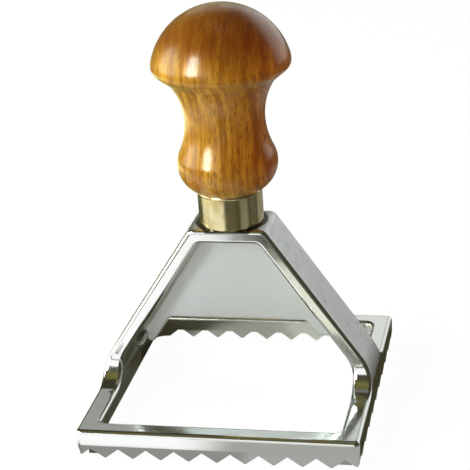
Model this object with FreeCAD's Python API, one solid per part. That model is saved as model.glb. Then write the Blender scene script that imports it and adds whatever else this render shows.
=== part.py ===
"""Square ravioli stamp: a cast aluminium ring and yoke under a turned wooden knob.

Millimetres. X runs along the front edge of the ring, Y from front to back and +Z up.
The origin is the middle of the square that the tooth tips stand on.
"""
import FreeCAD, Part
import math
import os

from FreeCAD import Vector

# Toothed ring
RING_SIDE = 66.0  # over the outer faces
RING_HEIGHT = 7.0  # tooth tips to the flat land on top
LAND_WIDTH = 4.8
RING_CORNER = 1.2  # outer corner radius, seen from above
OPENING_CORNER = 1.6  # inner corner radius, seen from above
SKIRT_WALL = 2.2  # cutting wall, thinner than the land above it
LEDGE_HEIGHT = 3.2  # sealing ledge above the tooth tips
BEVEL_HEIGHT = 3.3  # the outer face leans in below this height
BEVEL_RUN = 0.45
TEETH_PER_SIDE = 10
TOOTH_DEPTH = 2.5
TOOTH_TIP = 0.3  # blunt width of a tip

# Yoke, cast in one with the ring
YOKE_HEIGHT = 46.5  # tooth tips to its flat top
YOKE_TOP = 18.0  # length of the flat top
YOKE_DEPTH = 13.6  # front to back
YOKE_WALL = 3.4
SHOULDER_RADIUS = 2.2
THROAT_RADIUS = 1.6  # inner corners under the flat top
FOOT_RISE = 4.0  # from the land to where the line of an arm meets the ring's outer face
FOOT_RADIUS = 13.0  # outer bend where an arm turns down into the ring
FLARE_RADIUS = 6.6  # a foot spreads onto the land, front and back
RIM_ROUND = 1.0  # on the land's edges and all along the yoke's

# Web that fills the upper part of the yoke
WEB_WALL = 3.0
WEB_BOTTOM = 21.4  # tooth tips to its straight lower edge
LEG_WIDTH = 4.3  # legs that run on down inside the arms
LEFT_LEG_LENGTH = 11.0  # along the arm, from the web's lower edge to where it would come to a point
LEFT_LEG_TIP = 1.05  # radius
RIGHT_LEG_DROP = 3.9  # from the web's lower edge to its level end
RIGHT_LEG_CORNER = 0.9
WEB_CORNER = 1.2
WEB_EDGE_ROUND = 0.5
WEB_FILLET = 1.1

# Brass ferrule
FERRULE_DIAMETER = 15.2
FERRULE_HEIGHT = 8.4
FERRULE_WALL = 0.8
FERRULE_BEAD = 0.4  # radius of the rolled upper edge
BEAD_PROUD = 0.2
FERRULE_CHAMFER = 0.3

# Turned handle, with its heights taken from the top of the ferrule
COLLAR_DIAMETER = 15.6  # where the wood meets the ferrule
BULB_DIAMETER = 23.4
BULB_HEIGHT = 6.3
BULB_RADIUS = 7.0
WAIST_DIAMETER = 18.6
WAIST_HEIGHT = 17.0
NECK_RADIUS = 15.5  # cove from the waist up to the cap
NECK_HEIGHT = 26.7
CAP_STEP = 0.2  # the cap stands this far outside the neck
CAP_DIAMETER = 32.0
CAP_HEIGHT = 30.1  # of its widest line
LIP_RADIUS = 1.9
CAP_SHOULDER = 5.8
HANDLE_HEIGHT = 43.6
TENON_CLEARANCE = 0.05  # radial, inside the ferrule
TENON_GAP = 0.4  # from the tenon's end to the yoke

# Steel stud that ties the handle to the yoke
STUD_DIAMETER = 5.0
STUD_REACH = 24.0  # above the yoke
STUD_POINT = 1.2
STUD_HEAD_DIAMETER = 9.0
STUD_HEAD = 1.4
STUD_COVER = 1.0  # aluminium over the head
STUD_CLEARANCE = 0.05  # radial, in the wood
STUD_HOLE_SPARE = 1.0  # hole past the point

half_side = RING_SIDE / 2
half_opening = half_side - LAND_WIDTH
half_skirt = half_side - SKIRT_WALL
half_depth = YOKE_DEPTH / 2
flare_reach = half_depth + FLARE_RADIUS
foot_height = RING_HEIGHT + FOOT_RISE
arm_angle = math.atan2(YOKE_HEIGHT - foot_height, half_side - YOKE_TOP / 2)
ferrule_top = YOKE_HEIGHT + FERRULE_HEIGHT
bore_radius = FERRULE_DIAMETER / 2 - FERRULE_WALL

OVERRUN = 5.0  # how far cutting blocks run past the metal
BURY = 2.0  # how far the feet reach down into the ring before they are joined
TOUCH = 1e-4  # two things closer than this are the same

UP = Vector(0, 0, 1)
ORIGIN = Vector(0, 0, 0)


def front_view(u, v):
    """Point of an outline seen from the front."""
    return Vector(u, 0, v)


def side_view(u, v):
    """Point of an outline seen from the side."""
    return Vector(0, u, v)


def top_view(u, v):
    """Point of an outline seen from above."""
    return Vector(u, v, 0)


def rounded_face(corners, place):
    """Face inside (u, v, radius) corners, with a tangent arc at each corner that has a radius."""
    points = [place(u, v) for u, v, _ in corners]
    turns = []
    for i, (_, _, radius) in enumerate(corners):
        here = points[i]
        back = (points[i - 1] - here).normalize()
        ahead = (points[(i + 1) % len(points)] - here).normalize()
        half = back.getAngle(ahead) / 2
        reach = radius / math.tan(half)
        crown = here + (back + ahead).normalize() * (radius / math.sin(half) - radius)
        turns.append((here + back * reach, crown, here + ahead * reach))
    edges = []
    for i, (first, crown, last) in enumerate(turns):
        if corners[i][2] > 0:
            edges.append(Part.Arc(first, crown, last).toShape())
        following = turns[(i + 1) % len(turns)][0]
        if last.distanceToPoint(following) > TOUCH:
            edges.append(Part.LineSegment(last, following).toShape())
    return Part.Face(Part.Wire(edges))


def mirrored(right):
    """Outline symmetrical about the middle, from its right half in order."""
    return right + [(-u, v, radius) for u, v, radius in reversed(right)]


def square_face(side, corner, height):
    """Square with rounded corners, lying at a height."""
    h = side / 2
    face = rounded_face([(h, h, corner), (-h, h, corner), (-h, -h, corner), (h, -h, corner)], top_view)
    face.translate(UP * height)
    return face


def square_block(side, corner, bottom, top):
    """Upright square block with rounded corners."""
    return square_face(side, corner, bottom).extrude(UP * (top - bottom))


def samples(edge):
    """Five points along an edge, ends included."""
    span = edge.LastParameter - edge.FirstParameter
    return [edge.valueAt(edge.FirstParameter + span * k / 4) for k in range(5)]


def lies_on(edge, shape):
    """Whether all of an edge touches a shape."""
    return all(shape.distToShape(Part.Vertex(point))[0] < TOUCH for point in samples(edge))


def faces_across(face, axis, distance):
    """Whether a face is flat, square to an axis and at a distance from the origin on either side."""
    surface = face.Surface
    if not isinstance(surface, Part.Plane) or abs(surface.Axis.dot(axis)) < 1 - TOUCH:
        return False
    return abs(abs(surface.Position.dot(axis)) - distance) < TOUCH


def tooth_gaps():
    """All that is missing below the zigzag of the front side, as deep as the cutting wall."""
    pitch = RING_SIDE / TEETH_PER_SIDE
    zigzag = []
    for i in range(TEETH_PER_SIDE):
        left = i * pitch - half_side
        zigzag.append((left + TOOTH_TIP / 2, 0, 0))
        zigzag.append((left + pitch / 2, TOOTH_DEPTH, 0))
        zigzag.append((left + pitch - TOOTH_TIP / 2, 0, 0))
    far = half_side + OVERRUN
    below = [(far, 0, 0), (far, -OVERRUN, 0), (-far, -OVERRUN, 0), (-far, 0, 0)]
    face = rounded_face(zigzag + below, front_view)
    face.translate(Vector(0, -far, 0))
    return face.extrude(Vector(0, far - half_skirt, 0))


def make_ring():
    """Frame with a flat land, a sealing ledge inside, and V teeth all round the cutting wall."""
    tips = square_face(RING_SIDE - 2 * BEVEL_RUN, RING_CORNER, 0).OuterWire
    bend = square_face(RING_SIDE, RING_CORNER, BEVEL_HEIGHT).OuterWire
    ring = square_block(RING_SIDE, RING_CORNER, BEVEL_HEIGHT, RING_HEIGHT)
    ring = ring.fuse(Part.makeLoft([tips, bend], True, True))
    opening = square_block(2 * half_opening, OPENING_CORNER, -OVERRUN, RING_HEIGHT + OVERRUN)
    ledge_corner = OPENING_CORNER + half_skirt - half_opening
    under_ledge = square_block(2 * half_skirt, ledge_corner, -OVERRUN, LEDGE_HEIGHT)
    ring = ring.cut(opening).cut(under_ledge)
    for quarter in range(4):
        gaps = tooth_gaps()
        gaps.rotate(ORIGIN, UP, 90 * quarter)
        ring = ring.cut(gaps)
    return ring


def arm_start(inset):
    """Where the top turns into an arm, on the line that lies a distance inside the outer face."""
    return YOKE_TOP / 2 - inset * math.tan(arm_angle / 2), YOKE_HEIGHT - inset


def arm_height(inset, x):
    """Height of that line on an arm, at a distance from the middle."""
    start_x, start_z = arm_start(inset)
    return start_z - (x - start_x) * math.tan(arm_angle)


def arm_reach(inset, z):
    """Distance from the middle of that line on an arm, at a height."""
    start_x, start_z = arm_start(inset)
    return start_x + (start_z - z) / math.tan(arm_angle)


def make_strip():
    """Bent strip of the yoke: flat top, sloping arms, and feet that spread onto the land."""
    base = RING_HEIGHT - BURY
    right = [
        (*arm_start(0), SHOULDER_RADIUS),
        (half_side, foot_height, FOOT_RADIUS),
        (half_side, base, 0),
        (half_opening, base, 0),
        (half_opening, arm_height(YOKE_WALL, half_opening), FOOT_RADIUS - YOKE_WALL),
        (*arm_start(YOKE_WALL), THROAT_RADIUS),
    ]
    arch = rounded_face(mirrored(right), front_view)
    arch.translate(Vector(0, -flare_reach, 0))
    arch = arch.extrude(Vector(0, 2 * flare_reach, 0))
    back = [
        (half_depth, YOKE_HEIGHT + OVERRUN, 0),
        (half_depth, RING_HEIGHT, FLARE_RADIUS),
        (flare_reach, RING_HEIGHT, 0),
        (flare_reach, base - OVERRUN, 0),
    ]
    sides = rounded_face(mirrored(back), side_view)
    sides.translate(Vector(-half_side - OVERRUN, 0, 0))
    return arch.common(sides.extrude(Vector(RING_SIDE + 2 * OVERRUN, 0, 0)))


def make_web():
    """Plate in the middle of the yoke: straight lower edge, pointed left leg, level-ended right one."""
    buried = YOKE_WALL / 2
    rib = YOKE_WALL + LEG_WIDTH
    top_x, top_z = arm_start(buried)
    inner_x = arm_reach(rib, WEB_BOTTOM)
    left_z = WEB_BOTTOM - LEFT_LEG_LENGTH * math.sin(arm_angle)
    left_x = arm_reach(rib, left_z)
    right_z = WEB_BOTTOM - RIGHT_LEG_DROP
    outline = [
        (top_x, top_z, 0),
        (arm_reach(buried, right_z), right_z, 0),
        (arm_reach(rib, right_z), right_z, RIGHT_LEG_CORNER),
        (inner_x, WEB_BOTTOM, WEB_CORNER),
        (-inner_x, WEB_BOTTOM, WEB_CORNER),
        (-left_x, left_z, LEFT_LEG_TIP),
        (-left_x, arm_height(buried, left_x), 0),
        (-top_x, top_z, 0),
    ]
    web = rounded_face(outline, front_view)
    web.translate(Vector(0, -WEB_WALL / 2, 0))
    web = web.extrude(Vector(0, WEB_WALL, 0))
    lower = []
    for face in web.Faces:
        if faces_across(face, Vector(0, 1, 0), WEB_WALL / 2):
            lower += [edge for edge in face.Edges if edge.BoundBox.ZMax < top_z - TOUCH]
    return web.makeFillet(WEB_EDGE_ROUND, lower)


def make_yoke():
    """Strip and web in one, with a fillet where the web's faces run into the strip."""
    strip = make_strip()
    yoke = strip.fuse(make_web()).removeSplitter()
    joins = []
    for face in yoke.Faces:
        if faces_across(face, Vector(0, 1, 0), WEB_WALL / 2):
            joins += [edge for edge in face.Edges if lies_on(edge, strip)]
    return yoke.Solids[0].makeFillet(WEB_FILLET, joins)


def is_rim_face(face):
    """Whether a face is the land, the front or back of the yoke, or a flare between them."""
    surface = face.Surface
    if isinstance(surface, Part.Cylinder):
        return abs(surface.Axis.x) > 1 - TOUCH and abs(surface.Radius - FLARE_RADIUS) < TOUCH
    return faces_across(face, UP, RING_HEIGHT) or faces_across(face, Vector(0, 1, 0), half_depth)


def rim_edges(shape):
    """Edges that border the land and the yoke's faces, and don't just divide them."""
    uses = {}
    for face in shape.Faces:
        if is_rim_face(face):
            for edge in face.Edges:
                uses.setdefault(edge.hashCode(), []).append(edge)
    return [edges[0] for edges in uses.values() if len(edges) == 1]


def make_body(stud):
    """Ring and yoke as the one casting that they are, with the bed of the stud in the top."""
    casting = make_ring().fuse(make_yoke()).removeSplitter().Solids[0]
    return casting.makeFillet(RIM_ROUND, rim_edges(casting)).cut(stud)


def turned(outline):
    """Solid of revolution about the upright axis."""
    return outline.revolve(ORIGIN, UP, 360)


def make_stud():
    """Steel stud whose flat head the yoke was cast round."""
    radius = STUD_DIAMETER / 2
    head = STUD_HEAD_DIAMETER / 2
    head_top = YOKE_HEIGHT - STUD_COVER
    end = YOKE_HEIGHT + STUD_REACH
    half_outline = [
        (0, head_top - STUD_HEAD, 0),
        (head, head_top - STUD_HEAD, 0),
        (head, head_top, 0),
        (radius, head_top, 0),
        (radius, end - STUD_POINT, 0),
        (radius - STUD_POINT, end, 0),
        (0, end, 0),
    ]
    return turned(rounded_face(half_outline, front_view))


def swing(centre, radius, start, end):
    """Arc of a front outline about (x, z), between two angles in radians."""
    points = []
    for angle in (start, (start + end) / 2, end):
        points.append(front_view(centre[0] + radius * math.cos(angle), centre[1] + radius * math.sin(angle)))
    return Part.Arc(*points).toShape()


def make_ferrule():
    """Brass tube with a rolled upper edge, standing on the yoke's flat top."""
    outer = FERRULE_DIAMETER / 2
    centre = (outer + BEAD_PROUD - FERRULE_BEAD, ferrule_top - FERRULE_BEAD)
    bead_start = -math.acos((outer - centre[0]) / FERRULE_BEAD)
    bead = swing(centre, FERRULE_BEAD, bead_start, math.pi / 2)
    wall = [
        bead.valueAt(bead.LastParameter),
        front_view(bore_radius, ferrule_top),
        front_view(bore_radius, YOKE_HEIGHT),
        front_view(outer - FERRULE_CHAMFER, YOKE_HEIGHT),
        front_view(outer, YOKE_HEIGHT + FERRULE_CHAMFER),
        bead.valueAt(bead.FirstParameter),
    ]
    return turned(Part.Face(Part.Wire([bead] + Part.makePolygon(wall).Edges)))


def bulb_and_neck():
    """Edges from the ferrule up to the cap: bulb, waist and cove, each tangent to the next."""
    bulb = BULB_DIAMETER / 2
    bulb_z = ferrule_top + BULB_HEIGHT
    waist = WAIST_DIAMETER / 2
    waist_z = ferrule_top + WAIST_HEIGHT
    inward = bulb - COLLAR_DIAMETER / 2
    lower_radius = (BULB_HEIGHT**2 + inward**2) / (2 * inward)
    lower = swing((bulb - lower_radius, bulb_z), lower_radius, -math.asin(BULB_HEIGHT / lower_radius), 0)
    drop = bulb - waist
    rise = waist_z - bulb_z
    waist_radius = (drop**2 + rise**2) / (2 * drop) - BULB_RADIUS
    bulb_centre = (bulb - BULB_RADIUS, bulb_z)
    waist_centre = (waist + waist_radius, waist_z)
    lean = math.atan2(waist_z - bulb_z, waist_centre[0] - bulb_centre[0])
    upper = swing(bulb_centre, BULB_RADIUS, 0, lean)
    hollow = swing(waist_centre, waist_radius, math.pi + lean, math.pi)
    neck_angle = math.asin((NECK_HEIGHT - WAIST_HEIGHT) / NECK_RADIUS)
    neck = swing((waist + NECK_RADIUS, waist_z), NECK_RADIUS, math.pi, math.pi - neck_angle)
    return [lower, upper, hollow, neck]


def cap(neck_end):
    """Edges from the top of the neck to the crown: step, underside, lip, shoulder and dome."""
    widest = CAP_DIAMETER / 2
    widest_z = ferrule_top + CAP_HEIGHT
    crown_z = ferrule_top + HANDLE_HEIGHT
    edge = neck_end + Vector(CAP_STEP, 0, 0)
    lip_centre = (widest - LIP_RADIUS, widest_z)
    dx = edge.x - lip_centre[0]
    dz = edge.z - lip_centre[1]
    lip_start = math.atan2(dz, dx) + math.acos(LIP_RADIUS / math.hypot(dx, dz))
    lip = swing(lip_centre, LIP_RADIUS, lip_start, 0)
    across = widest - CAP_SHOULDER
    above = crown_z - widest_z
    dome_radius = (across**2 + above**2 - CAP_SHOULDER**2) / (2 * (above - CAP_SHOULDER))
    dome_z = crown_z - dome_radius
    lean = math.atan2(widest_z - dome_z, across)
    shoulder = swing((across, widest_z), CAP_SHOULDER, 0, lean)
    dome = swing((0, dome_z), dome_radius, lean, math.pi / 2)
    underside = [Part.LineSegment(neck_end, edge), Part.LineSegment(edge, lip.valueAt(lip.FirstParameter))]
    return [line.toShape() for line in underside] + [lip, shoulder, dome]


def make_handle():
    """Turned knob with a tenon for the ferrule and a blind hole for the stud."""
    sides = bulb_and_neck()
    sides += cap(sides[-1].valueAt(sides[-1].LastParameter))
    tenon = bore_radius - TENON_CLEARANCE
    tenon_end = YOKE_HEIGHT + TENON_GAP
    hole = STUD_DIAMETER / 2 + STUD_CLEARANCE
    hole_end = YOKE_HEIGHT + STUD_REACH + STUD_HOLE_SPARE
    inside = [
        front_view(0, ferrule_top + HANDLE_HEIGHT),
        front_view(0, hole_end),
        front_view(hole, hole_end),
        front_view(hole, tenon_end),
        front_view(tenon, tenon_end),
        front_view(tenon, ferrule_top),
        front_view(COLLAR_DIAMETER / 2, ferrule_top),
    ]
    return turned(Part.Face(Part.Wire(Part.makePolygon(inside).Edges + sides)))


def write(shape, node):
    """One file for each piece."""
    shape.exportStep(f"parts/{node}.step")


os.makedirs("parts", exist_ok=True)
stud = make_stud()
write(make_body(stud), "stamp_body")
write(stud, "stud")
write(make_ferrule(), "ferrule")
write(make_handle(), "handle")
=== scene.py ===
"""Looks of a square ravioli stamp: cast aluminium, a brass ferrule and a varnished wooden knob.

Metres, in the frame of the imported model: X along the ring's front edge, Y to the back, +Z up.
"""
import logging
import math
from dataclasses import dataclass
from enum import Enum
from typing import Any, Sequence, Union

import bpy
from mathutils import Matrix, Vector


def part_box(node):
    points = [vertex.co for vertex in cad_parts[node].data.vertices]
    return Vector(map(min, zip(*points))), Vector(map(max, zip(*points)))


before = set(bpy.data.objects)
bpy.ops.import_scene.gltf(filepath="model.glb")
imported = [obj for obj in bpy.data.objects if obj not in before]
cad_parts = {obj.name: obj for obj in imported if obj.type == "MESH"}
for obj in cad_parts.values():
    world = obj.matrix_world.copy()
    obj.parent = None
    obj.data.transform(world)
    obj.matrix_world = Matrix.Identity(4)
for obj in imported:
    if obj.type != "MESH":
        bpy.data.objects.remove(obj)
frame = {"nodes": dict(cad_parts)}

LOG = logging.getLogger("ravioli_stamp")
MM = 0.001

Colour = tuple[float, float, float]
Point = tuple[float, float, float]
Range = tuple[float, float]  # where a share is 0, and where it is 1
Socket = bpy.types.NodeSocket
Value = Union[Socket, float, Sequence[float]]

WHITE: Colour = (1.0, 1.0, 1.0)
CREAM: Colour = (1.0, 0.99, 0.83)
IVORY: Colour = (1.0, 1.0, 0.86)
STRAW: Colour = (1.0, 1.0, 0.55)
GOLD: Colour = (1.0, 0.92, 0.34)
SKY: Colour = (0.92, 0.96, 1.0)
LEAF_SHADE: Colour = (0.88, 1.0, 0.6)
BROWN_WALL: Colour = (1.0, 0.38, 0.14)

SCREEN_STEPS = 255
SCREEN_KNEE = 0.04045
SCREEN_SLOPE = 12.92
SCREEN_OFFSET = 0.055
SCREEN_POWER = 2.4


def linear(share: float) -> float:
    """Turn one channel of a screen's colour, 0 to 1, into linear light."""
    if share <= SCREEN_KNEE:
        return share / SCREEN_SLOPE
    return ((share + SCREEN_OFFSET) / (1 + SCREEN_OFFSET)) ** SCREEN_POWER


def srgb(red: int, green: int, blue: int) -> Colour:
    """Turn a colour as a screen shows it, 0 to 255, into the linear colour that a shader takes."""
    return tuple(linear(value / SCREEN_STEPS) for value in (red, green, blue))


def towards(azimuth: float, elevation: float) -> Vector:
    """Point in a direction from the stamp.

    Args:
        azimuth: Degrees from straight in front, positive to the right.
        elevation: Degrees above the floor.

    Returns:
        The direction, one unit long.
    """
    turn = math.radians(azimuth)
    tilt = math.radians(elevation)
    level = math.cos(tilt)
    return Vector((math.sin(turn) * level, -math.cos(turn) * level, math.sin(tilt)))


def moved(steps: Range, level: float) -> Range:
    """Move a range, given as steps from a level, to that level."""
    return level + steps[0], level + steps[1]


class Operation(Enum):
    """Operations on numbers in a shader."""

    SUBTRACT = "SUBTRACT"
    MULTIPLY = "MULTIPLY"
    LARGER = "MAXIMUM"
    SIZE = "ABSOLUTE"


class VectorOperation(Enum):
    """Operations on vectors in a shader, each with the output that holds its result."""

    MULTIPLY = ("MULTIPLY", "Vector")
    DIVIDE = ("DIVIDE", "Vector")
    UNIT = ("NORMALIZE", "Vector")
    LENGTH = ("LENGTH", "Value")
    DISTANCE = ("DISTANCE", "Value")
    DOT = ("DOT_PRODUCT", "Value")


class Mix(Enum):
    """What a mixing node mixes: its data type, the places of its two inputs and its output."""

    COLOURS = ("RGBA", 6, 7, 2)
    NUMBERS = ("FLOAT", 2, 3, 0)


class NodeBench:
    """Builds shader nodes in one node tree, in the order of the work."""

    def __init__(self, tree: bpy.types.NodeTree) -> None:
        """Clear the node tree of a material or of the world, and keep it."""
        self.tree = tree
        tree.nodes.clear()

    def add(
        self, kind: str, settings: dict[str, Any] | None = None, **inputs: Value
    ) -> bpy.types.Node:
        """Add a node.

        Args:
            kind: Node type.
            settings: Properties of the node itself.
            **inputs: Values or output sockets by input name, with underscores for spaces.

        Returns:
            The new node.
        """
        node = self.tree.nodes.new(kind)
        for name, value in (settings or {}).items():
            setattr(node, name, value)
        for name, value in inputs.items():
            self.feed(node.inputs[name.replace("_", " ")], value)
        return node

    def feed(self, socket: Socket, value: Value) -> None:
        """Link an output to a socket, or set the socket's own value.

        Args:
            socket: Input socket.
            value: Output socket, number, vector or colour.
        """
        if isinstance(value, Socket):
            self.tree.links.new(value, socket)
        elif socket.type == "RGBA":
            socket.default_value = (*value, 1.0)
        else:
            socket.default_value = value

    def math(self, operation: Operation, *values: Value, clamp: bool = False) -> Socket:
        """Combine numbers.

        Args:
            operation: What is done with them.
            *values: Numbers or output sockets.
            clamp: Whether the result stays between 0 and 1.

        Returns:
            The result's socket.
        """
        settings = {"operation": operation.value, "use_clamp": clamp}
        node = self.add("ShaderNodeMath", settings)
        for socket, value in zip(node.inputs, values):
            self.feed(socket, value)
        return node.outputs[0]

    def vector(self, operation: VectorOperation, *values: Value) -> Socket:
        """Combine or measure vectors.

        Args:
            operation: What is done with them.
            *values: Vectors or output sockets.

        Returns:
            The result's socket.
        """
        name, output = operation.value
        node = self.add("ShaderNodeVectorMath", {"operation": name})
        for socket, value in zip(node.inputs, values):
            self.feed(socket, value)
        return node.outputs[output]

    def mix(self, kind: Mix, share: Value, first: Value, second: Value) -> Socket:
        """Mix two colours or two numbers.

        Args:
            kind: What is mixed.
            share: How much of the second.
            first: Colour, number or its socket.
            second: Colour, number or its socket.

        Returns:
            The mixture's socket.
        """
        data_type, first_place, second_place, output = kind.value
        node = self.add("ShaderNodeMix", {"data_type": data_type})
        self.feed(node.inputs["Factor"], share)
        self.feed(node.inputs[first_place], first)
        self.feed(node.inputs[second_place], second)
        return node.outputs[output]

    def blend(self, share: Value, first: Value, second: Value) -> Socket:
        """Mix two colours, with a share of the second."""
        return self.mix(Mix.COLOURS, share, first, second)

    def between(self, share: Value, first: Value, second: Value) -> Socket:
        """Mix two numbers, with a share of the second."""
        return self.mix(Mix.NUMBERS, share, first, second)

    def both(self, first: Value, second: Value) -> Socket:
        """Multiply two numbers, or give the share of a surface that two zones have in common."""
        return self.math(Operation.MULTIPLY, first, second)

    def either(self, first: Value, second: Value) -> Socket:
        """Give the larger number, or the share of a surface that lies in one of two zones."""
        return self.math(Operation.LARGER, first, second)

    def rise(self, value: Value, low: float, high: float) -> Socket:
        """Turn a number into a smooth share that is 0 at low and 1 at high.

        Args:
            value: Number's socket.
            low: Where the share is 0.
            high: Where the share is 1.

        Returns:
            The share's socket.
        """
        settings = {"interpolation_type": "SMOOTHERSTEP"}
        node = self.add("ShaderNodeMapRange", settings, Value=value, From_Min=low, From_Max=high)
        return node.outputs["Result"]

    def place(self) -> Socket:
        """Give the point on the object, in metres."""
        return self.add("ShaderNodeTexCoord").outputs["Object"]

    def parts(self, vector: Socket) -> tuple[Socket, ...]:
        """Split a vector into X, Y and Z."""
        return tuple(self.add("ShaderNodeSeparateXYZ", Vector=vector).outputs)

    def bump(self, height: Socket, distance: float, normal: Socket | None = None) -> Socket:
        """Bend the surface's normal by a height.

        Args:
            height: Height's socket, between 0 and 1.
            distance: Height of 1, in metres.
            normal: Normal that an earlier bump gave.

        Returns:
            The bent normal's socket.
        """
        node = self.add("ShaderNodeBump", Height=height, Distance=distance, Strength=1.0)
        if normal is not None:
            self.feed(node.inputs["Normal"], normal)
        return node.outputs["Normal"]


@dataclass(frozen=True)
class StampSizes:
    """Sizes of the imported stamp, which the zones of its finishes and the floor's rings follow."""

    half_side: float
    yoke_top: float
    ferrule_radius: float
    handle_top: float

    @classmethod
    def read(cls) -> "StampSizes":
        """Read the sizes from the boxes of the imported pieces.

        Returns:
            The sizes, in metres.
        """
        _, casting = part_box("stamp_body")
        _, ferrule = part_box("ferrule")
        _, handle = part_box("handle")
        return cls(casting.x, casting.z, ferrule.x, handle.z)


@dataclass(frozen=True)
class Grain:
    """Noise in a finish.

    The size is that of one grain along X, Y and Z. Layers and weight are those of its finer
    noise. Rise is the range of noise over which a mark appears, and strength how much of it shows.
    """

    size: Point
    layers: float = 2.0
    weight: float = 0.5
    rise: Range = (0.0, 1.0)
    strength: float = 1.0

    def noise(self, bench: NodeBench, place: Socket) -> Socket:
        """Give the noise itself.

        Args:
            bench: Bench of the material's nodes.
            place: Socket of the point on the object.

        Returns:
            The noise's socket, between 0 and 1.
        """
        grains = bench.vector(VectorOperation.DIVIDE, place, self.size)
        settings = {"Scale": 1.0, "Detail": self.layers, "Roughness": self.weight}
        return bench.add("ShaderNodeTexNoise", Vector=grains, **settings).outputs[0]

    def marks(self, bench: NodeBench, place: Socket) -> Socket:
        """Give the share of the marks at a place, before their strength."""
        return bench.rise(self.noise(bench, place), *self.rise)


class Finish:
    """A finish that dresses pieces with one procedural material."""

    name: str = "finish"

    def material(self) -> bpy.types.Material:
        """Make the material.

        Returns:
            The new material.
        """
        material = bpy.data.materials.new(self.name)
        material.use_nodes = True
        bench = NodeBench(material.node_tree)
        shader = bench.add("ShaderNodeBsdfPrincipled")
        self.paint(bench, shader)
        bench.add("ShaderNodeOutputMaterial", Surface=shader.outputs[0])
        return material

    def paint(self, bench: NodeBench, shader: bpy.types.Node) -> None:
        """Feed the shader, in each finish's own way."""
        raise NotImplementedError

    def dress(self, piece: bpy.types.Object) -> None:
        """Give a piece with a mesh this finish alone."""
        piece.data.materials.clear()
        piece.data.materials.append(self.material())


@dataclass(frozen=True)
class CastZones:
    """Where each part of the cast finish, the painted dark reflection and the painted contact
    shadow lie: one share from 0 to 1 for each.
    """

    web: Socket
    matt: Socket
    inside: Socket
    land: Socket
    # Share of the painted dark reflection behind the left foot.
    skin: Socket
    # Share of the painted contact shadow round the ferrule's foot.
    painted_shadow: Socket


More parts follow.
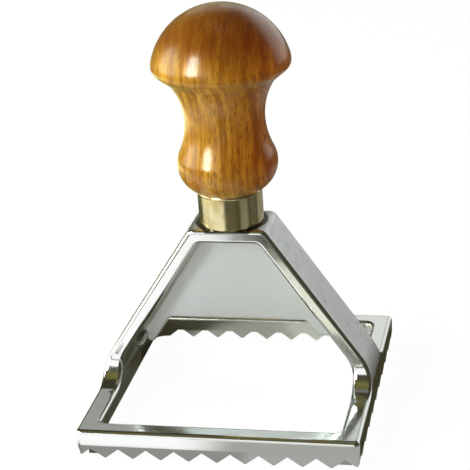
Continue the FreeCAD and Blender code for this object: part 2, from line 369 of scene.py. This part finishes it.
@dataclass(frozen=True)
class CastAluminium(Finish):
    """Cast aluminium: polished rims and flares, satin web, matt outer faces, dull inner walls."""

    sizes: StampSizes
    name: str = "cast_aluminium"
    polished: Colour = srgb(243, 245, 243)
    land: Colour = srgb(214, 218, 212)
    satin: Colour = srgb(221, 226, 225)
    matt: Colour = srgb(224, 227, 226)
    stain: Colour = srgb(188, 196, 200)
    dull: Colour = srgb(214, 217, 204)
    # Colour of the painted dark reflection on the land behind the left foot.
    skin: Colour = srgb(92, 90, 74)
    # Colour of the painted contact shadow under the ferrule's foot.
    painted_shadow: Colour = srgb(74, 70, 56)
    polished_rough: float = 0.13
    satin_rough: float = 0.42
    matt_rough: float = 0.48
    dull_rough: float = 0.3
    satin_metal: float = 0.55

    # Where a face looks: parts of its normal along Y for the front, along Z for down and up.
    facing_front: Range = (0.1, 0.45)
    facing_down: Range = (0.1, -0.1)
    facing_up: Range = (0.5, 0.9)
    # Distances from the yoke's middle plane, for the rims, the web between them and the flares.
    rim_depth: Range = (2.7 * MM, 5.2 * MM)
    web_depth: Range = (5.2 * MM, 2.7 * MM)
    flare_depth: Range = (6.7 * MM, 7.1 * MM)
    # The ring's height, the height of its inner walls, and their step in from its outer face.
    ring_height: Range = (9.5 * MM, 7.3 * MM)
    inner_height: Range = (6.7 * MM, 6.4 * MM)
    inner_step: Range = (-1.5 * MM, -1.8 * MM)
    # Painted dark reflection on the land behind the left foot: its middle, half way from the yoke
    # to the back, lies a step in from the ring's left face.
    painted_reflection_step: float = 3 * MM
    painted_reflection_height: float = 6 * MM
    painted_reflection_reach: Range = (9 * MM, 5.4 * MM)
    painted_reflection_strength: float = 0.9
    # Painted contact shadow round the ferrule's foot, in steps from the ferrule and from the yoke's
    # top.
    painted_shadow_step: Range = (1.0 * MM, 0.5 * MM)
    painted_shadow_drop: Range = (-0.9 * MM, -0.7 * MM)
    painted_shadow_strength: float = 0.9

    stains: Grain = Grain((2.2 * MM,) * 3, layers=5.0, weight=0.65, rise=(0.5, 0.72), strength=0.7)
    smears: Grain = Grain((5.0 * MM, 5.0 * MM, 1.4 * MM), layers=3.0)
    smear_range: Range = (0.8, 1.2)
    swell: Grain = Grain((7.0 * MM,) * 3, layers=1.0)
    swell_height: float = 0.08 * MM
    sand: Grain = Grain((0.5 * MM,) * 3, layers=3.0, weight=0.65)
    sand_height: float = 0.04 * MM

    def zones(self, bench: NodeBench, place: Socket) -> CastZones:
        """Part the casting into its zones, by place and by where a face looks.

        Args:
            bench: Bench of the material's nodes.
            place: Socket of the point on the object.

        Returns:
            The zones.
        """
        x, y, z = bench.parts(place)
        normal = bench.add("ShaderNodeNewGeometry").outputs["Normal"]
        _, forward, upward = bench.parts(normal)
        depth = bench.math(Operation.SIZE, y)
        front = bench.rise(bench.math(Operation.SIZE, forward), *self.facing_front)
        rim = bench.both(front, bench.rise(depth, *self.rim_depth))
        web = bench.both(front, bench.rise(depth, *self.web_depth))
        ring = bench.rise(z, *self.ring_height)
        flare = bench.rise(depth, *self.flare_depth)
        shine = bench.either(bench.either(rim, ring), flare)
        matt = bench.math(Operation.SUBTRACT, 1.0, bench.either(shine, web), clamp=True)
        out = bench.either(bench.math(Operation.SIZE, x), depth)
        within = bench.both(
            bench.rise(out, *moved(self.inner_step, self.sizes.half_side)),
            bench.rise(z, *self.inner_height),
        )
        under = bench.both(matt, bench.rise(upward, *self.facing_down))
        half = self.sizes.half_side
        # Middle of the painted dark reflection.
        painted_reflection_middle = (self.painted_reflection_step - half, 0.5 * half, self.painted_reflection_height)
        from_painted_reflection = bench.vector(VectorOperation.DISTANCE, place, painted_reflection_middle)
        flat = bench.vector(VectorOperation.MULTIPLY, place, (1.0, 1.0, 0.0))
        from_axis = bench.vector(VectorOperation.LENGTH, flat)
        return CastZones(
            web=web,
            matt=matt,
            inside=bench.either(within, under),
            land=bench.both(ring, bench.rise(upward, *self.facing_up)),
            skin=bench.rise(from_painted_reflection, *self.painted_reflection_reach),
            painted_shadow=bench.both(
                bench.rise(from_axis, *moved(self.painted_shadow_step, self.sizes.ferrule_radius)),
                bench.rise(z, *moved(self.painted_shadow_drop, self.sizes.yoke_top)),
            ),
        )

    def colour(self, bench: NodeBench, place: Socket, zones: CastZones) -> Socket:
        """Mix the metal's colour.

        Args:
            bench: Bench of the material's nodes.
            place: Socket of the point on the object.
            zones: Zones of the casting.

        Returns:
            The colour's socket.
        """
        stains = bench.both(self.stains.marks(bench, place), self.stains.strength)
        stained = bench.blend(stains, self.matt, self.stain)
        colour = bench.blend(zones.land, self.polished, self.land)
        colour = bench.blend(zones.web, colour, self.satin)
        colour = bench.blend(zones.matt, colour, stained)
        colour = bench.blend(zones.inside, colour, self.dull)
        # Painted dark reflection on the land behind the left foot.
        colour = bench.blend(bench.both(zones.skin, self.painted_reflection_strength), colour, self.skin)
        # Painted contact shadow round the ferrule's foot.
        return bench.blend(bench.both(zones.painted_shadow, self.painted_shadow_strength), colour, self.painted_shadow)

    def roughness(self, bench: NodeBench, place: Socket, zones: CastZones) -> Socket:
        """Mix the metal's roughness, with faint smears in it.

        Args:
            bench: Bench of the material's nodes.
            place: Socket of the point on the object.
            zones: Zones of the casting.

        Returns:
            The roughness's socket.
        """
        rough = bench.between(zones.web, self.polished_rough, self.satin_rough)
        rough = bench.between(zones.matt, rough, self.matt_rough)
        rough = bench.between(zones.inside, rough, self.dull_rough)
        smears = bench.between(self.smears.noise(bench, place), *self.smear_range)
        return bench.both(rough, smears)

    def relief(self, bench: NodeBench, place: Socket, zones: CastZones) -> Socket:
        """Bend the normal by the casting's swell and, on the matt strip, by its sand grain.

        Args:
            bench: Bench of the material's nodes.
            place: Socket of the point on the object.
            zones: Zones of the casting.

        Returns:
            The bent normal's socket.
        """
        sand = bench.both(self.sand.noise(bench, place), zones.matt)
        bent = bench.bump(self.swell.noise(bench, place), self.swell_height)
        return bench.bump(sand, self.sand_height, bent)

    def paint(self, bench: NodeBench, shader: bpy.types.Node) -> None:
        """Feed the shader by zones: polished, satin, matt and dull.

        Args:
            bench: Bench of the material's nodes.
            shader: The material's shader.
        """
        place = bench.place()
        zones = self.zones(bench, place)
        metal = bench.between(zones.web, 1.0, self.satin_metal)
        bench.feed(shader.inputs["Base Color"], self.colour(bench, place, zones))
        bench.feed(shader.inputs["Metallic"], metal)
        bench.feed(shader.inputs["Roughness"], self.roughness(bench, place, zones))
        bench.feed(shader.inputs["Normal"], self.relief(bench, place, zones))


@dataclass(frozen=True)
class VarnishedWood(Finish):
    """Golden brown hardwood with fine dark pores along its grain, under clear gloss varnish."""

    sizes: StampSizes
    name: str = "varnished_wood"
    pale: Colour = srgb(210, 154, 46)
    deep: Colour = srgb(148, 86, 14)
    pore: Colour = srgb(96, 52, 12)
    # Darker red-brown towards the handle's top: end grain, with painted shade of the dome's top in
    # it.
    end_grain_and_shade: Colour = srgb(116, 44, 4)
    end_grain_and_shade_drop: Range = (-13.5 * MM, -5.5 * MM)  # from the handle's top
    end_grain_and_shade_strength: float = 0.68
    figure: Grain = Grain(
        (1.5 * MM, 7 * MM, 45 * MM), layers=3.0, weight=0.6, rise=(0.25, 0.75)
    )
    fibre: Grain = Grain((0.35 * MM, 2 * MM, 6 * MM), rise=(0.4, 0.7), strength=0.5)
    pores: Grain = Grain(
        (0.3 * MM, 1.2 * MM, 2.2 * MM), layers=1.0, rise=(0.54, 0.68), strength=0.55
    )
    pore_depth: float = 0.015 * MM
    # A warm shine of the wood itself and a sheen at its edges, under a clear coat.
    varnish: tuple[tuple[str, Value], ...] = (
        ("Roughness", 0.36),
        ("Specular IOR Level", 0.42),
        ("Specular Tint", (1.0, 0.95, 0.34)),
        ("Coat Weight", 0.8),
        ("Coat Roughness", 0.18),
        ("Coat IOR", 1.5),
        ("Sheen Weight", 0.2),
        ("Sheen Roughness", 0.4),
        ("Sheen Tint", (1.0, 0.95, 0.36)),
    )

    def paint(self, bench: NodeBench, shader: bpy.types.Node) -> None:
        """Feed the shader with the figure, the fibre, the pores and the varnish.

        Args:
            bench: Bench of the material's nodes.
            shader: The material's shader.
        """
        place = bench.place()
        fibre = bench.both(self.fibre.marks(bench, place), self.fibre.strength)
        end_and_shade_height = moved(self.end_grain_and_shade_drop, self.sizes.handle_top)
        end_and_shade = bench.both(bench.rise(bench.parts(place)[2], *end_and_shade_height), self.end_grain_and_shade_strength)
        pores = self.pores.marks(bench, place)
        colour = bench.blend(self.figure.marks(bench, place), self.deep, self.pale)
        colour = bench.blend(fibre, colour, self.deep)
        # End grain and painted shade, darker towards the handle's top.
        colour = bench.blend(end_and_shade, colour, self.end_grain_and_shade)
        colour = bench.blend(bench.both(pores, self.pores.strength), colour, self.pore)
        bench.feed(shader.inputs["Base Color"], colour)
        for name, value in self.varnish:
            bench.feed(shader.inputs[name], value)
        surface = bench.math(Operation.SUBTRACT, 1.0, pores)
        bench.feed(shader.inputs["Normal"], bench.bump(surface, self.pore_depth))


@dataclass(frozen=True)
class PolishedBrass(Finish):
    """Polished brass with fine turning lines and a breath of tarnish."""

    name: str = "polished_brass"
    bright: Colour = srgb(233, 221, 174)
    dull: Colour = srgb(218, 200, 142)
    tarnish: Grain = Grain((3.5 * MM,) * 3, layers=4.0, weight=0.6, rise=(0.4, 0.75))
    tarnish_rough: Range = (0.17, 0.24)
    lines: Grain = Grain((40 * MM, 40 * MM, 0.12 * MM))
    line_depth: float = 0.002 * MM

    def paint(self, bench: NodeBench, shader: bpy.types.Node) -> None:
        """Feed the shader with tarnish and turning lines.

        Args:
            bench: Bench of the material's nodes.
            shader: The material's shader.
        """
        place = bench.place()
        tarnish = self.tarnish.marks(bench, place)
        lines = self.lines.noise(bench, place)
        bench.feed(shader.inputs["Base Color"], bench.blend(tarnish, self.bright, self.dull))
        bench.feed(shader.inputs["Metallic"], 1.0)
        bench.feed(shader.inputs["Roughness"], bench.between(tarnish, *self.tarnish_rough))
        bench.feed(shader.inputs["Normal"], bench.bump(lines, self.line_depth))


@dataclass(frozen=True)
class DrawnSteel(Finish):
    """Plain drawn steel with faint lines along the stud."""

    name: str = "stud_steel"
    bright: Colour = srgb(190, 192, 194)
    dark: Colour = srgb(150, 152, 156)
    lines: Grain = Grain((0.2 * MM, 0.2 * MM, 8 * MM))
    line_rough: Range = (0.28, 0.42)

    def paint(self, bench: NodeBench, shader: bpy.types.Node) -> None:
        """Feed the shader with drawing lines.

        Args:
            bench: Bench of the material's nodes.
            shader: The material's shader.
        """
        lines = self.lines.noise(bench, bench.place())
        bench.feed(shader.inputs["Base Color"], bench.blend(lines, self.bright, self.dark))
        bench.feed(shader.inputs["Metallic"], 1.0)
        bench.feed(shader.inputs["Roughness"], bench.between(lines, *self.line_rough))


@dataclass
class CarriedPiece:
    """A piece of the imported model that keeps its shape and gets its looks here."""

    node: str
    finish: Finish

    def build(self, nodes: dict[str, bpy.types.Object]) -> bpy.types.Object:
        """Dress the piece.

        Args:
            nodes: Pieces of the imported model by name.

        Returns:
            The dressed piece.
        """
        piece = nodes[self.node]
        self.finish.dress(piece)
        return piece


@dataclass
class Viewpoint:
    """Camera at the photograph's viewing angle, with its turns in radians.

    The focal length is in pixels of a frame that is as wide as the given number of pixels.
    """

    place: Point = (79.594 * MM, -343.511 * MM, 188.911 * MM)
    azimuth: float = 0.226345
    elevation: float = 0.393334
    roll: float = -0.070204
    focal_pixels: float = 1618.783
    frame_pixels: float = 470.0
    sensor_mm: float = 36.0
    nearest: float = 10 * MM

    def turn(self) -> Matrix:
        """Work out the camera's turn.

        Returns:
            The turn, from the camera's right, up and backward directions.
        """
        ahead = Vector((
            -math.sin(self.azimuth) * math.cos(self.elevation),
            math.cos(self.azimuth) * math.cos(self.elevation),
            -math.sin(self.elevation),
        ))
        level = Vector((math.cos(self.azimuth), math.sin(self.azimuth), 0.0))
        upright = level.cross(ahead)
        right = level * math.cos(self.roll) + upright * math.sin(self.roll)
        up = upright * math.cos(self.roll) - level * math.sin(self.roll)
        return Matrix((right, up, -ahead)).transposed().to_4x4()

    def build(self) -> bpy.types.Object:
        """Make the camera and look through it.

        Returns:
            The camera.
        """
        data = bpy.data.cameras.new("camera")
        data.sensor_width = self.sensor_mm
        data.lens = self.focal_pixels / self.frame_pixels * self.sensor_mm
        data.clip_start = self.nearest
        camera = bpy.data.objects.new("camera", data)
        bpy.context.scene.collection.objects.link(camera)
        camera.matrix_world = Matrix.Translation(self.place) @ self.turn()
        bpy.context.scene.camera = camera
        return camera


@dataclass(frozen=True)
class Glow:
    """Round patch of the surroundings with a level of its own.

    Its middle, the radius of its core and that of its edge are in degrees, as seen from the stamp.
    """

    azimuth: float
    elevation: float
    core: float
    edge: float
    level: float
    tint: Colour = WHITE

    def share(self, bench: NodeBench, way: Socket) -> Socket:
        """Tell how much of the patch lies in a direction.

        Args:
            bench: Bench of the nodes.
            way: Direction's socket, one unit long.

        Returns:
            The share's socket, 1 in the patch's core and 0 past its edge.
        """
        middle = tuple(towards(self.azimuth, self.elevation))
        reach = bench.vector(VectorOperation.DOT, way, middle)
        edge = math.cos(math.radians(self.edge))
        return bench.rise(reach, edge, math.cos(math.radians(self.core)))


@dataclass(frozen=True)
class Surroundings:
    """Light that comes from each direction, from dark olive at level 0 to white at level 1.

    Base is the level where no glow lies.
    """

    base: float
    glows: tuple[Glow, ...]
    dark: Colour = (0.035, 0.032, 0.012)
    light: Colour = (1.08, 1.08, 1.08)

    def shade(self, level: float, tint: Colour = WHITE) -> Colour:
        """Give the colour of a level, multiplied by a tint."""
        channels = zip(self.dark, self.light, tint)
        return tuple((dark + (light - dark) * level) * tone for dark, light, tone in channels)

    def colour(self, bench: NodeBench, way: Socket) -> Value:
        """Mix the colour in a direction.

        Args:
            bench: Bench of the nodes.
            way: Direction's socket, one unit long.

        Returns:
            The colour's socket, or the plain colour where there are no glows.
        """
        colour: Value = self.shade(self.base)
        for glow in self.glows:
            share = glow.share(bench, way)
            colour = bench.blend(share, colour, self.shade(glow.level, glow.tint))
        return colour


class Outline(Enum):
    """Outline of a ring of the mirrored floor."""

    SQUARE = "square"
    ROUND = "round"


@dataclass(frozen=True)
class FloorRing:
    """Ring of the mirrored floor, whose inner edge lies a step out from the stamp's outer face."""

    outline: Outline
    step: float
    fade: float
    light: Surroundings


@dataclass
class Floor:
    """Plain white floor with the stamp's soft shadow; metal mirrors a darker, uneven one.

    The seen floor is matt grey of the given tone, lifted to the given white by the share in lift.
    Within is what metal mirrors of the floor inside the ring, and rings are what lies around it.
    """

    sizes: StampSizes
    half_size: float = 1.6
    tone: float = 0.8
    lift: float = 0.9
    white: float = 1.07
    within: Surroundings = Surroundings(0.01, (
        Glow(180, 0, 28, 44, 0.4),
        Glow(146, 0, 14, 26, 0.66),
        Glow(-80, 0, 30, 44, 0.04),
        Glow(50, 0, 42, 62, 0.3),
    ))
    rings: tuple[FloorRing, ...] = (
        # The first two lie next to the ring's outer face.
        FloorRing(Outline.SQUARE, -2 * MM, 2.5 * MM, Surroundings(0.01, (
            Glow(-15, 0, 28, 36, 0.25),
            Glow(30, 0, 16, 24, 0.36),
        ))),
        FloorRing(Outline.SQUARE, 4 * MM, 2.5 * MM, Surroundings(0.04, (
            Glow(20, 0, 40, 50, 0.35),
            Glow(-45, 0, 24, 52, 1.0),
        ))),
        # The web mirrors this one.
        FloorRing(Outline.SQUARE, 13 * MM, 2.5 * MM, Surroundings(0.04, (
            Glow(10, 0, 18, 24, 0.8, CREAM),
            Glow(123, 0, 14, 24, 0.2),
            Glow(-41, 0, 27, 31, 1.0),
        ))),
        # The ferrule mirrors this one.
        FloorRing(Outline.ROUND, 55 * MM, 15 * MM, Surroundings(0.03, (
            Glow(-42, 0, 24, 35, 1.0),
            Glow(-88, 0, 9, 20, 0.8),
            Glow(58, 0, 6, 20, 0.24),
            Glow(95, 0, 10, 16, 0.1),
            Glow(150, 0, 22, 40, 0.27),
        ))),
        # The rims and the flares mirror the last two.
        FloorRing(Outline.ROUND, 119 * MM, 10 * MM, Surroundings(0.03, (
            Glow(-42, 0, 24, 35, 0.5),
            Glow(15, 0, 10, 20, 0.16),
            Glow(-108, 0, 36, 56, 1.6, STRAW),
        ))),
        FloorRing(Outline.ROUND, 222 * MM, 10 * MM, Surroundings(0.06, (
            Glow(-3, 0, 10, 16, 0.45),
        ))),
    )

    def build(self) -> bpy.types.Object:
        """Make the floor.

        Returns:
            The floor.
        """
        half = self.half_size
        corners = [(-half, -half, 0), (half, -half, 0), (half, half, 0), (-half, half, 0)]
        mesh = bpy.data.meshes.new("floor")
        mesh.from_pydata(corners, [], [(0, 1, 2, 3)])
        floor = bpy.data.objects.new("floor", mesh)
        bpy.context.scene.collection.objects.link(floor)
        mesh.materials.append(self.material())
        return floor

    def mirrored(self, bench: NodeBench) -> Value:
        """Mix the colour that metal mirrors, ring by ring from the stamp outwards.

        Args:
            bench: Bench of the nodes.

        Returns:
            The colour's socket.
        """
        place = bench.place()
        way = bench.vector(VectorOperation.UNIT, place)
        x, y, _ = bench.parts(place)
        sideways = bench.math(Operation.SIZE, x)
        lengthways = bench.math(Operation.SIZE, y)
        distances = {
            Outline.SQUARE: bench.either(sideways, lengthways),
            Outline.ROUND: bench.vector(VectorOperation.LENGTH, place),
        }
        colour = self.within.colour(bench, way)
        for ring in self.rings:
            edge = self.sizes.half_side + ring.step
            share = bench.rise(distances[ring.outline], edge, edge + ring.fade)
            colour = bench.blend(share, colour, ring.light.colour(bench, way))
        return colour

    def material(self) -> bpy.types.Material:
        """Make the floor's material: nearly white where it is seen, the rings' levels in metal.

        Returns:
            The new material.
        """
        material = bpy.data.materials.new("floor")
        material.use_nodes = True
        bench = NodeBench(material.node_tree)
        matt = bench.add("ShaderNodeBsdfDiffuse", Color=(self.tone,) * 3)
        ray = bench.add("ShaderNodeLightPath").outputs
        metal = bench.either(ray["Is Glossy Ray"], ray["Is Transmission Ray"])
        colour = bench.blend(metal, (self.white,) * 3, self.mirrored(bench))
        lifted = bench.add("ShaderNodeEmission", Color=colour, Strength=1.0)
        seen = bench.both(ray["Is Camera Ray"], self.lift)
        mixed = bench.add("ShaderNodeMixShader")
        for socket, value in zip(
            mixed.inputs, (bench.either(seen, metal), matt.outputs[0], lifted.outputs[0])
        ):
            bench.feed(socket, value)
        bench.add("ShaderNodeOutputMaterial", Surface=mixed.outputs[0])
        return material


@dataclass
class Lamp:
    """Soft rectangular lamp that looks at the stamp, in degrees, metres and watts."""

    name: str
    azimuth: float
    elevation: float
    width: float
    height: float
    power: float
    colour: Colour = WHITE
    distance: float = 0.7
    aim: float = 55 * MM

    def build(self) -> bpy.types.Object:
        """Make the lamp, which metal doesn't mirror: the room's walls hold what it mirrors.

        Returns:
            The lamp.
        """
        data = bpy.data.lights.new(self.name, "AREA")
        data.shape = "RECTANGLE"
        data.size = self.width
        data.size_y = self.height
        data.energy = self.power
        data.color = self.colour
        lamp = bpy.data.objects.new(self.name, data)
        lamp.visible_glossy = False
        bpy.context.scene.collection.objects.link(lamp)
        away = towards(self.azimuth, self.elevation)
        lamp.location = away * self.distance + Vector((0, 0, self.aim))
        lamp.rotation_euler = away.to_track_quat("Z", "Y").to_euler()
        return lamp


@dataclass
class Room:
    """White background for the eye; metal and varnish mirror a dark room with pale patches."""

    background: float = 1.0
    fill: float = 0.06
    walls: Surroundings = Surroundings(0.02, (
        # Behind, for the ring's land and the right arm.
        Glow(-168, 25, 14, 22, 0.42),
        Glow(150, 5, 22, 40, 0.95),
        Glow(-173, 26, 3, 6, 0.95),
        Glow(-165.5, 23.3, 3.8, 4.8, 0.0),
        # Overhead, gold for the flares and grey for the land as seen from above.
        Glow(-11, 62, 20, 25, 0.13, GOLD),
        Glow(180, 86, 6, 14, 0.2),
        # To the left, for the bright edge of the wood.
        Glow(-85, 9, 15, 26, 3.2, IVORY),
        # In front, dark, then white for the flares, and a tall window for the wood's highlights.
        Glow(13, 10, 30, 60, 0.02),
        Glow(-14, 4, 9, 12, 1.0),
        Glow(-15, 16, 9, 12, 1.0),
        Glow(-39, 31, 6, 10, 18.0, SKY),
        Glow(-38, 16, 7, 13, 22.0, SKY),
    ))

    def build(self) -> bpy.types.World:
        """Set the world.

        Returns:
            The world.
        """
        world = bpy.data.worlds.new("room")
        bpy.context.scene.world = world
        world.use_nodes = True
        bench = NodeBench(world.node_tree)
        way = bench.add("ShaderNodeTexCoord").outputs["Generated"]
        ray = bench.add("ShaderNodeLightPath").outputs
        metal = bench.either(ray["Is Glossy Ray"], ray["Is Transmission Ray"])
        colour = bench.blend(metal, (self.fill,) * 3, self.walls.colour(bench, way))
        colour = bench.blend(ray["Is Camera Ray"], colour, (self.background,) * 3)
        light = bench.add("ShaderNodeBackground", Color=colour, Strength=1.0)
        bench.add("ShaderNodeOutputWorld", Surface=light.outputs[0])
        return world


@dataclass
class Studio:
    """Camera, floor, room and lamps around the stamp."""

    sizes: StampSizes
    lamps: tuple[Lamp, ...] = (
        Lamp("window_front", azimuth=-36, elevation=19, width=0.22, height=0.38, power=2.8),
        Lamp(
            "window_left",
            azimuth=-88, elevation=16, width=0.45, height=0.45, power=6.4, colour=LEAF_SHADE,
        ),
        Lamp(
            "brown_wall",
            azimuth=85, elevation=25, width=0.45, height=0.45, power=1.5, colour=BROWN_WALL,
        ),
    )

    def build(self) -> list[str]:
        """Set up everything that isn't the stamp.

        Returns:
            The names of what was set up.
        """
        bpy.context.scene.view_settings.view_transform = "Standard"
        builders = (Viewpoint(), Floor(self.sizes), Room(), *self.lamps)
        return [builder.build().name for builder in builders]


def main() -> None:
    """Build the scene in order and report each piece."""
    logging.basicConfig(level=logging.INFO, format="%(name)s: %(message)s")
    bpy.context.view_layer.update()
    sizes = StampSizes.read()
    for name in Studio(sizes).build():
        LOG.info("studio %s", name)
    pieces = (
        CarriedPiece("stamp_body", CastAluminium(sizes)),
        CarriedPiece("ferrule", PolishedBrass()),
        CarriedPiece("handle", VarnishedWood(sizes)),
        CarriedPiece("stud", DrawnSteel()),
    )
    for piece in pieces:
        LOG.info("piece %s: %s", piece.build(frame["nodes"]).name, piece.finish.name)


if __name__ == "__main__":
    main()
